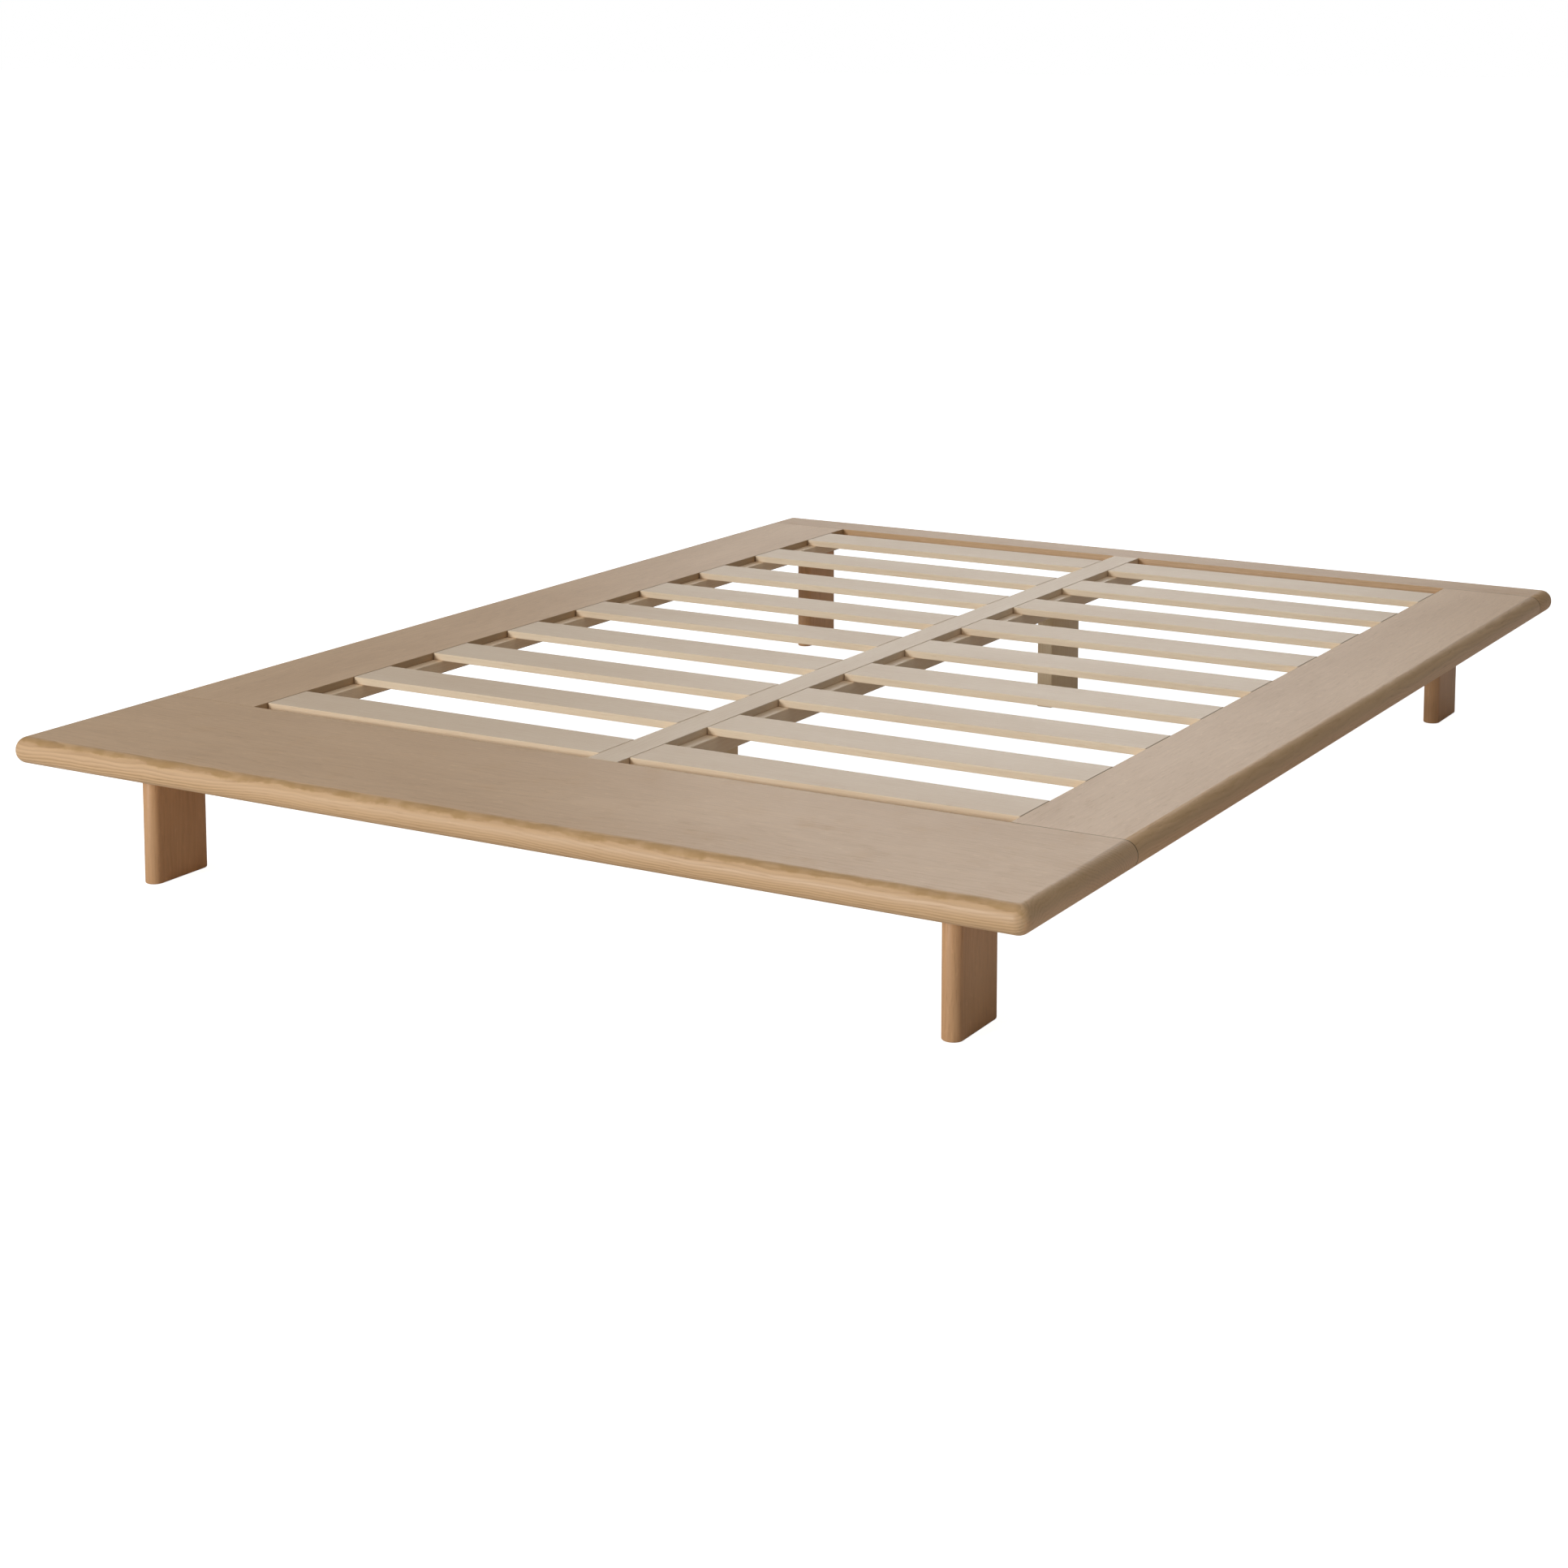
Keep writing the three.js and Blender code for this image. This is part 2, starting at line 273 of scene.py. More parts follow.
def makeNoseGroup():
    # The half-round edge cuts through more rings than the flat top: it is streaky, with a wavy dark line
    # along its upper side and a band of painted light below that line. Both are calmer where the edge is a
    # side one, whose lower half gets painted light instead.
    tree, given, result = startTree(
        "roundedEdge", "ShaderNodeTree",
        [("Place", "Vector", None), ("Inwards", "Float", 1.0), ("Figure", "Float", 1.0),
         ("Seed", "Float", 0.0), ("Radius", "Float", 0.0195)],
        [(name, "Float") for name in ("Nose", "Streaks", "Line", "Painted Light", "Side Painted Light")],
    )
    figure = noseFigure
    x, y, z = splitVector(tree, given["Place"])
    height = calc(tree, "DIVIDE", z, given["Radius"])
    plan = addNode(tree, "ShaderNodeCombineXYZ", {"X": x, "Y": y, "Z": given["Seed"]}).outputs[0]
    shape = (figure["waveScale"], figure["waveDetail"], figure["waveRoughness"])
    waves = minus(tree, addNoise(tree, plan, *shape), noiseMean)
    inwards = calc(tree, "DIVIDE", given["Inwards"], given["Radius"])
    inwards = total(tree, inwards, product(tree, waves, figure["waveSize"]))
    nose = fadeOut(tree, inwards, *figure["noseEnd"])
    feed(result["Nose"], nose)
    feed(result["Streaks"], product(tree, nose, given["Figure"]))
    starts = rampValue(tree, inwards, *figure["lineStart"])
    ends = fadeOut(tree, inwards, *figure["lineEnd"])
    upper = rampValue(tree, height, *figure["lineAbove"])
    patches = addNoise(tree, plan, figure["breakScale"])
    breaks = rampValue(tree, patches, *figure["breakSize"], figure["breakLeast"])
    feed(result["Line"], product(tree, starts, ends, breaks, upper, given["Figure"]))
    # painted light: a paler warm band below the line
    upper = rampValue(tree, height, *figure["paintedLightAbove"])
    ends = fadeOut(tree, inwards, *figure["paintedLightEnd"])
    feed(result["Painted Light"], product(tree, upper, ends, given["Figure"]))
    # painted light on the lower half of the side edges
    lower = fadeOut(tree, height, *figure["sideLightBelow"])
    plain = minus(tree, 1.0, given["Figure"])
    feed(result["Side Painted Light"], product(tree, nose, lower, plain))
    return tree


grainGroup = makeGrainGroup()
edgeGroup = makeEdgeGroup()
noseGroup = makeNoseGroup()


# Materials

border = {
    "nose": 0.0195,          # radius of the half-round edge
    "corner": 0.020,         # the border's corner seen from above
    "noseSteps": 14,
    "cornerSteps": 12,
    "flatMargin": 0.0012,    # a narrow strip that keeps the shading of the flats flat
    "seamGap": 0.0005,       # each joint face stands back this far
    "ease": 0.0006,          # softened arris of the sawn edges
    "easeSteps": 2,
    "easeAngle": 40,         # only edges sharper than this are softened, in degrees
    "sharpAngle": 50,
    "leastCorner": 0.0003,   # the corner never closes to a point
    "recessRoom": 0.0004,    # round each corner plate
    "recessDepth": 0.0033,
    "cutBelow": 0.010,       # the recess cutter starts this far below the board
    "plateCorner": 0.005,
    "plateSteps": 5,
    "sideFigure": 0.30,      # how much of the rounded edge's figure the left and right edges show
}

oakLook = {
    "color": (0.68, 0.437, 0.232),
    "contrast": 0.22,        # how far pale and dark wood stand from the mean color
    "paleWarmth": -0.03,
    "darkWarmth": 0.07,
    "ringWidth": 0.0042,
    "heartAcross": 0.12,     # the log's heart, from the piece's middle or its rounded edge
    "heartBelow": 0.20,
    "wander": 0.010,
    "rings": 0.14,
    "fibre": 0.55,
    "pores": 0.30,
    "flecks": 0.15,
    "cloud": 0.80,
    "ownTone": 0.10,
    "arrisPaling": 0.25,
    "noseRings": 0.0,        # extra ring figure on a half-round edge
    "noseLine": 0.8,
    "lineColor": (0.52, 0.31, 0.125, 1.0),
    # painted light on the upper half of the rounded edge
    "nosePaintedLight": 0.45,
    "paintedLightColor": (0.76, 0.50, 0.29, 1.0),
    # painted light on the lower half of the side edges
    "sidePaintedLight": (1.24, 1.12, 1.07, 1.0),
    "noseMatt": 0.10,        # extra roughness on the half-round edge
    "faces": None,           # painted light and shade on some faces, and darker end grain
    "outerEnds": False,      # the ends beside the border show the darker end tone, with its painted shade, most
    "roughness": 0.40,
    "glossRange": 0.05,
    "relief": 0.00012,
}

# each figure's part in the tone, and its mean value, so that the mean color stays the given one
figureMeans = {"Rings": 0.28, "Fibre": 0.5, "Cloud": 0.5, "Pores": 0.06}
middleTone = 0.5
seedShare = 0.618            # spreads whole and broken seeds evenly between 0 and 1


def startMaterial(name):
    material = bpy.data.materials.new(name)
    material.use_nodes = True
    tree = material.node_tree
    tree.nodes.clear()
    shader = addNode(tree, "ShaderNodeBsdfPrincipled")
    feed(addNode(tree, "ShaderNodeOutputMaterial").inputs["Surface"], shader.outputs["BSDF"])
    return material, tree, shader.inputs


def readAttribute(tree, name, output="Vector"):
    return addNode(tree, "ShaderNodeAttribute", attribute_name=name).outputs[output]


def readObjectPlace(tree):
    return addNode(tree, "ShaderNodeTexCoord").outputs["Object"]


def addRelief(tree, shader, height, depth):
    bump = addNode(tree, "ShaderNodeBump", {"Distance": depth, "Height": height})
    feed(shader["Normal"], bump.outputs["Normal"])


def shade(color, factor, warmth=0.0):
    return tuple(min(1.0, c * factor * (1 - warmth * k)) for k, c in enumerate(color)) + (1.0,)


# a dark line at the board joints: partly dirt, partly painted shade in the gap
jointDirtAndShade = {
    "core": 0.0004,
    "halfWidth": 0.0020,
    "strength": 0.75,
    "leftShare": 0.35,       # the lines are fainter at the left joints than at the right ones
    "fadeIn": 0.001,         # each line starts this far inside the side board's inner side
    "color": (0.13, 0.075, 0.035, 1.0),
}


def addJointDirtAndShade(tree, wood):
    # a thin dark line where the side boards meet the end boards: partly dirt in the seam, partly painted
    # shade in its gap
    low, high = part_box("right_rail")
    x, y, _ = splitVector(tree, readObjectPlace(tree))
    near = 0.0
    for joint in (low.y, high.y):
        gap = calc(tree, "ABSOLUTE", minus(tree, y, joint))
        line = fadeOut(tree, gap, jointDirtAndShade["core"], jointDirtAndShade["halfWidth"])
        near = calc(tree, "MAXIMUM", near, line)
    beside = rampValue(tree, calc(tree, "ABSOLUTE", x), low.x - jointDirtAndShade["fadeIn"], low.x)
    width = high.x - low.x
    side = rampValue(tree, x, -width, width, jointDirtAndShade["leftShare"], 1.0)
    share = product(tree, near, beside, side, jointDirtAndShade["strength"])
    return mixColors(tree, share, wood, jointDirtAndShade["color"])


# what a face does to the wood's color, and how far from the face inwards it reaches: painted light and
# shade, and the slats' darker end grain
slatFaces = {
    "Y": ((1.07, 1.12, 1.15, 1.0), (0.0002, 0.0009)),  # painted light: the long sides are painted paler than the top
    "X": ((0.62, 0.58, 0.54, 1.0), (0.0004, 0.0026)),  # partly the end grain, which soaks up more oil, partly painted shade in the gap beside the border
}
stripFaces = {
    # painted shade: the strip's sides are painted darker
    "X": ((0.85, 0.88, 0.91, 1.0), (0.0002, 0.0008)),
}
legFaces = {
    "X": ((1.11, 1.08, 1.05, 1.0), (0.0010, 0.0060)),  # painted light: the wide faces are painted paler than the round ends
}
centreLegFaces = {
    # painted shade: the wide faces are painted darker than the ends
    "X": ((0.95, 0.89, 0.83, 1.0), (0.0004, 0.0020)),
}
# how much of the darker end tone, end grain with painted shade, a slat's inner end shows, and the places
# from the middle between which it grows
slatEndGrainAndShade = {"innerShare": 0.12, "innerUntil": 0.30, "outerFrom": 0.50}
# painted shade on the side boards' inner sides
innerSideShade = {
    "reach": (0.0003, 0.0010),
    "factor": (0.75, 0.81, 0.89, 1.0),
}


def addFaceLightAndEndGrain(tree, wood, look):
    inside = calcVector(tree, "ABSOLUTE", readAttribute(tree, "place"))
    gaps = splitVector(tree, calcVector(tree, "SUBTRACT", readAttribute(tree, "halfSize"), inside))
    for axis, (factor, reach) in look["faces"].items():
        share = fadeOut(tree, gaps[axis], *reach)
        if look["outerEnds"] and axis == "X":
            x = calc(tree, "ABSOLUTE", splitVector(tree, readObjectPlace(tree))["X"])
            grows = [slatEndGrainAndShade[key] for key in ("innerUntil", "outerFrom", "innerShare")]
            share = product(tree, share, rampValue(tree, x, *grows))
        wood = mixColors(tree, share, wood, factor, "MULTIPLY")
    return wood


def addInnerSideShade(tree, wood):
    # painted shade: the side boards' sawn inner sides are painted darker than their tops, as shade falls
    # inside the opening
    low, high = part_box("right_rail")
    x, y, _ = splitVector(tree, readObjectPlace(tree))
    beside = minus(tree, calc(tree, "ABSOLUTE", x), low.x)
    alongside = calc(tree, "ABSOLUTE", minus(tree, y, (low.y + high.y) / 2))
    alongside = calc(tree, "LESS_THAN", alongside, (high.y - low.y) / 2)
    share = product(tree, fadeOut(tree, beside, *innerSideShade["reach"]), alongside)
    return mixColors(tree, share, wood, innerSideShade["factor"], "MULTIPLY")


def addGrain(tree, look, carriedOver):
    grain = addNode(tree, "ShaderNodeGroup", node_tree=grainGroup)
    if carriedOver:
        turn = {"Vector": readObjectPlace(tree), "Rotation": (0.0, 0.0, -math.pi / 2)}
        turned = addNode(tree, "ShaderNodeMapping", turn)
        feed(grain.inputs["Grain Place"], turned.outputs["Vector"])
    else:
        feed(grain.inputs["Grain Place"], readAttribute(tree, "grain"))
        feed(grain.inputs["Seed"], readAttribute(tree, "seed", "Fac"))
    sizes = {"Ring Width": "ringWidth", "Heart Across": "heartAcross", "Heart Below": "heartBelow",
             "Wander": "wander"}
    for socketName, key in sizes.items():
        feed(grain.inputs[socketName], look[key])
    return grain.outputs


def addNose(tree):
    inputs = {"Place": readAttribute(tree, "place"), "Radius": border["nose"]}
    for socketName, attribute in (("Inwards", "inwards"), ("Figure", "figure"), ("Seed", "seed")):
        inputs[socketName] = readAttribute(tree, attribute, "Fac")
    return addNode(tree, "ShaderNodeGroup", inputs, node_tree=noseGroup).outputs


def makeOak(name, carriedOver=False, **changes):
    look = {**oakLook, **changes}
    material, tree, shader = startMaterial(name)
    grain = addGrain(tree, look, carriedOver)
    nose = addNose(tree) if look["noseRings"] else None
    # tone is 0 in the palest wood and 1 in the darkest
    tone = middleTone
    if nose:
        streak = minus(tree, grain["Rings"], figureMeans["Rings"])
        tone = total(tree, product(tree, streak, nose["Streaks"], look["noseRings"]), tone)
    for socketName, mean in figureMeans.items():
        part = minus(tree, grain[socketName], mean)
        tone = total(tree, product(tree, part, look[socketName.lower()]), tone)
    tone = minus(tree, tone, product(tree, grain["Flecks"], look["flecks"]))
    if not carriedOver:
        own = calc(tree, "FRACT", product(tree, readAttribute(tree, "seed", "Fac"), seedShare))
        tone = total(tree, tone, product(tree, minus(tree, own, middleTone), look["ownTone"]))
    tone = calc(tree, "ADD", tone, 0.0, clamp=True)
    pale = shade(look["color"], 1 + look["contrast"], look["paleWarmth"])
    dark = shade(look["color"], 1 - look["contrast"], look["darkWarmth"])
    wood = mixColors(tree, tone, pale, dark)
    gloss = rampValue(tree, tone, 0.0, 1.0, look["roughness"] - look["glossRange"],
                      look["roughness"] + look["glossRange"], False)
    if nose:
        wood = mixColors(tree, product(tree, nose["Line"], look["noseLine"]), wood, look["lineColor"])
        # painted light: a paler warm band on the rounded edge
        wood = mixColors(tree, product(tree, nose["Painted Light"], look["nosePaintedLight"]), wood, look["paintedLightColor"])
        # painted light on the lower half of the side edges
        wood = mixColors(tree, nose["Side Painted Light"], wood, look["sidePaintedLight"], "MULTIPLY")
        # painted shade on the side boards' inner sides and in the joints, with the joints' dirt
        wood = addInnerSideShade(tree, addJointDirtAndShade(tree, wood))
        gloss = total(tree, gloss, product(tree, nose["Nose"], look["noseMatt"]))
    if look["faces"]:
        wood = addFaceLightAndEndGrain(tree, wood, look)
    if not carriedOver:
        inputs = {"Place": readAttribute(tree, "place"), "Half Size": readAttribute(tree, "halfSize")}
        edges = addNode(tree, "ShaderNodeGroup", inputs, node_tree=edgeGroup)
        wood = mixColors(tree, product(tree, edges.outputs["Mask"], look["arrisPaling"]), wood, pale)
    feed(shader["Base Color"], wood)
    feed(shader["Roughness"], gloss)
    addRelief(tree, shader, grain["Height"], look["relief"])
    return material


steelLook = {
    "brushed": (2500.0, 60.0, 2500.0),
    "spangle": 300.0,
    "spangleDetail": 3.0,
    "toneRange": (0.2, 0.8),
    "dull": (0.42, 0.43, 0.45, 1.0),
    "bright": (0.68, 0.69, 0.70, 1.0),
    "roughness": (0.28, 0.48),
    "relief": 0.00005,
}


def makeSteel(name):
    material, tree, shader = startMaterial(name)
    place = readObjectPlace(tree)
    brushed = stretchedNoise(tree, place, steelLook["brushed"])
    spangle = addNoise(tree, place, steelLook["spangle"], steelLook["spangleDetail"])
    tone = product(tree, total(tree, brushed, spangle), 0.5)
    feed(shader["Base Color"], mixColors(tree, tone, steelLook["dull"], steelLook["bright"]))
    rough = rampValue(tree, tone, *steelLook["toneRange"], *steelLook["roughness"], False)
    feed(shader["Roughness"], rough)
    feed(shader["Metallic"], 1.0)
    addRelief(tree, shader, tone, steelLook["relief"])
    return material


boardOak = makeOak("boardOak", noseRings=0.70, rings=0.08, fibre=0.42, pores=0.40, cloud=0.60, ownTone=0.30)
paleWood = {"color": (0.86, 0.67, 0.47), "contrast": 0.10, "heartBelow": 0.10}
slatOak = makeOak("slatOak", **paleWood, faces=slatFaces, outerEnds=True)
stripOak = makeOak("stripOak", **paleWood, faces=stripFaces)
beamOak = makeOak("beamOak", **paleWood)
ledgerOak = makeOak("ledgerOak", color=(0.93, 0.70, 0.475), contrast=0.10, heartAcross=0.10)
legOak = makeOak("legOak", color=(0.69, 0.405, 0.205), heartAcross=0.05, heartBelow=0.08, faces=legFaces)
centreLegOak = makeOak("centreLegOak", color=(0.92, 0.74, 0.50), contrast=0.12, faces=centreLegFaces)
tenonBeech = makeOak("tenonBeech", carriedOver=True, color=(0.66, 0.46, 0.28), rings=0.25, pores=0.20)
zincSteel = makeSteel("zincSteel")
print("materials made,", len(bpy.data.materials))


# Making and finishing pieces

weldReach = 0.000002
sliverReach = 0.00002
quarterTurn = 0.5 * math.pi
cornerSigns = ((1, 1), (-1, 1), (-1, -1), (1, -1))  # anticlockwise from the back right


def link(piece):
    bpy.context.scene.collection.objects.link(piece)
    return piece


def tidyMesh(bm, mesh):
    bmesh.ops.remove_doubles(bm, verts=bm.verts, dist=weldReach)
    bmesh.ops.dissolve_degenerate(bm, dist=sliverReach, edges=bm.edges)
    bm.to_mesh(mesh)
    bm.free()
    return mesh


def meshFrom(bm, name):
    return tidyMesh(bm, bpy.data.meshes.new(name))


def loft(bm, rings):
    # rings of equally many points, anticlockwise from above, from the bottom up, and closed at both ends
    rows = [[bm.verts.new(point) for point in ring] for ring in rings]
    count = len(rows[0])
    for low, high in zip(rows, rows[1:]):
        for i in range(count):
            j = (i + 1) % count
            bm.faces.new((low[i], low[j], high[j], high[i]))
    bm.faces.new(list(reversed(rows[0])))
    bm.faces.new(rows[-1])


def roundedPlan(centre, half, radius, z, steps):
    # a rectangle with round corners, seen from above; equal half sizes and radius make a half round
    points = []
    for quarter, (signX, signY) in enumerate(cornerSigns):
        for step in range(steps + 1):
            turn = quarterTurn * (quarter + step / steps)
            x = centre[0] + signX * (half[0] - radius) + radius * math.cos(turn)
            y = centre[1] + signY * (half[1] - radius) + radius * math.sin(turn)
            points.append((x, y, z))
    return points


def plateOutline(centre, half, z):
    return roundedPlan(centre, half, border["plateCorner"], z, border["plateSteps"])


def freeze(piece):
    # the piece's mesh as its modifiers leave it, with the modifiers gone
    graph = bpy.context.evaluated_depsgraph_get()
    made = piece.evaluated_get(graph)
    mesh = bpy.data.meshes.new_from_object(made, preserve_all_data_layers=True, depsgraph=graph)
    piece.modifiers.clear()
    for i in reversed(range(len(mesh.materials))):
        if mesh.materials[i] is None:
            mesh.materials.pop(index=i)
    bm = bmesh.new()
    bm.from_mesh(mesh)
    piece.data = tidyMesh(bm, mesh)
    return piece


def addBoolean(piece, cutter):
    modifier = piece.modifiers.new("cut", "BOOLEAN")
    modifier.object = cutter
    modifier.operation = "DIFFERENCE"


def addBevel(piece, width, segments, degrees):
    modifier = piece.modifiers.new("ease", "BEVEL")
    modifier.width = width
    modifier.segments = segments
    modifier.limit_method = "ANGLE"
    modifier.angle_limit = math.radians(degrees)


def setMaterial(mesh, material):
    mesh.materials.clear()
    mesh.materials.append(material)


def shadeByAngle(mesh, degrees):
    mesh.shade_smooth()
    mesh.set_sharp_from_angle(angle=math.radians(degrees))


def tagWood(mesh, centre, half, grain, seed):
    # what the oak reads: the place in the piece, its half size, the place along the grain, and a seed
    places = [v.co - centre for v in mesh.vertices]
    values = {"place": places, "halfSize": [half] * len(places), "grain": [grain(p) for p in places]}
    for name, vectors in values.items():
        attribute = mesh.attributes.new(name, "FLOAT_VECTOR", "POINT")
        attribute.data.foreach_set("vector", [c for vector in vectors for c in vector])
    mesh.attributes.new("seed", "FLOAT", "POINT").data.foreach_set("value", [seed] * len(places))


def tagNose(mesh, centre, half, rounded):
    # how far in each point is from the nearest half-round side, and how much of the edge's figure it shows
    gaps = {"left": lambda p: p.x + half.x, "right": lambda p: half.x - p.x,
            "front": lambda p: p.y + half.y, "back": lambda p: half.y - p.y}
    figures = {"left": border["sideFigure"], "right": border["sideFigure"], "front": 1.0, "back": 1.0}
    nearest = [min((gaps[side](v.co - centre), figures[side]) for side in rounded) for v in mesh.vertices]
    for name, values in zip(("inwards", "figure"), zip(*nearest)):
        mesh.attributes.new(name, "FLOAT", "POINT").data.foreach_set("value", values)


def finishPiece(piece, nodes):
    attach(piece, "root")
    if nodes:
        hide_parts(*nodes)


def middleAndHalf(node):
    low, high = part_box(node)
    return (low + high) / 2, (high - low) / 2


def nodesNamed(start):
    return sorted(n for n in cadNodes if n.startswith(start))


# The border: four boards with a half-round outer edge

roundSides = {
    "front_rail": {"left", "front", "right"},
    "back_rail": {"left", "back", "right"},
    "left_rail": {"left"},
    "right_rail": {"right"},
}
boardSeeds = {"front_rail": 15.0, "back_rail": 8.0, "left_rail": 2.0, "right_rail": 7.0}
seamSides = {
    "front_rail": {"back"},
    "back_rail": {"front"},
    "left_rail": {"front", "back"},
    "right_rail": {"front", "back"},
}


def boardRing(low, high, rounded, inset, z, sawnInset=0.0):
    # the board's outline at one height: half-round sides stand back by inset and sawn sides by sawnInset
    points = []
    for quarter, (signX, signY) in enumerate(cornerSigns):
        roundX = ("right" if signX > 0 else "left") in rounded
        roundY = ("back" if signY > 0 else "front") in rounded
        x = (high.x if signX > 0 else low.x) - signX * (inset if roundX else sawnInset)
        y = (high.y if signY > 0 else low.y) - signY * (inset if roundY else sawnInset)
        if not (roundX and roundY):
            points.append((x, y, z))
            continue
        radius = max(border["corner"] - inset, border["leastCorner"])
        for step in range(border["cornerSteps"] + 1):
            turn = quarterTurn * (quarter + step / border["cornerSteps"])
            points.append((x + radius * (math.cos(turn) - signX), y + radius * (math.sin(turn) - signY), z))
    return points


def makeRecessCutter():
    bm = bmesh.new()
    room = Vector((border["recessRoom"], border["recessRoom"], 0))
    for name in nodesNamed("corner_plate"):
        centre, half = middleAndHalf(name)
        bottom = centre.z - half.z
        heights = (bottom - border["cutBelow"], bottom + border["recessDepth"])
        loft(bm, [plateOutline(centre, half + room, z) for z in heights])
    return link(bpy.data.objects.new("recessCutter", meshFrom(bm, "recessCutter")))


def boardGrain(node, half):
    # along the grain, then inwards from the half-round edge, then up
    if node == "front_rail":
        return lambda p: (p.x, p.y + half.y, p.z)
    if node == "back_rail":
        return lambda p: (-p.x, half.y - p.y, p.z)
    if node == "left_rail":
        return lambda p: (-p.y, p.x + half.x, p.z)
    return lambda p: (p.y, half.x - p.x, p.z)


def makeBoard(node, seed, cutter):
    low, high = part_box(node)
    low.y += border["seamGap"] if "front" in seamSides[node] else 0
    high.y -= border["seamGap"] if "back" in seamSides[node] else 0
    rounded = roundSides[node]
    radius, steps, margin = border["nose"], border["noseSteps"], border["flatMargin"]
    rings = [boardRing(low, high, rounded, radius + margin, low.z, margin)]
    for direction, centre in ((-1, low.z + radius), (1, high.z - radius)):
        for step in range(steps + 1):
            turn = quarterTurn * (step if direction > 0 else steps - step) / steps
            inset = radius * (1 - math.cos(turn))
            rings.append(boardRing(low, high, rounded, inset, centre + direction * radius * math.sin(turn)))
    rings.append(boardRing(low, high, rounded, radius + margin, high.z, margin))
    bm = bmesh.new()
    loft(bm, rings)
    piece = link(bpy.data.objects.new(node + "_board", meshFrom(bm, node)))
    addBoolean(piece, cutter)
    addBevel(piece, border["ease"], border["easeSteps"], border["easeAngle"])
    freeze(piece)
    shadeByAngle(piece.data, border["sharpAngle"])
    half = (high - low) / 2
    tagWood(piece.data, (low + high) / 2, half, boardGrain(node, half), seed)
    tagNose(piece.data, (low + high) / 2, half, rounded)
    setMaterial(piece.data, boardOak)
    finishPiece(piece, [node])


def makeBorder():
    cutter = makeRecessCutter()
    for node, seed in boardSeeds.items():
        makeBoard(node, seed, cutter)
    bpy.data.objects.remove(cutter)


makeBorder()
print("border made")


# Straight bars with softened arrises: slats, ledgers, strip and beam

barBlock = {
    "size": 2.0,
    "points": 8,             # along each side
    "flatFrom": 1 / 7,       # places of the block's planes, in shares of its half size
    "flatUntil": 3 / 7,
    "flatMargin": 0.0012,    # a narrow strip that keeps the shading of the flats flat
    "seedRange": 40.0,
}


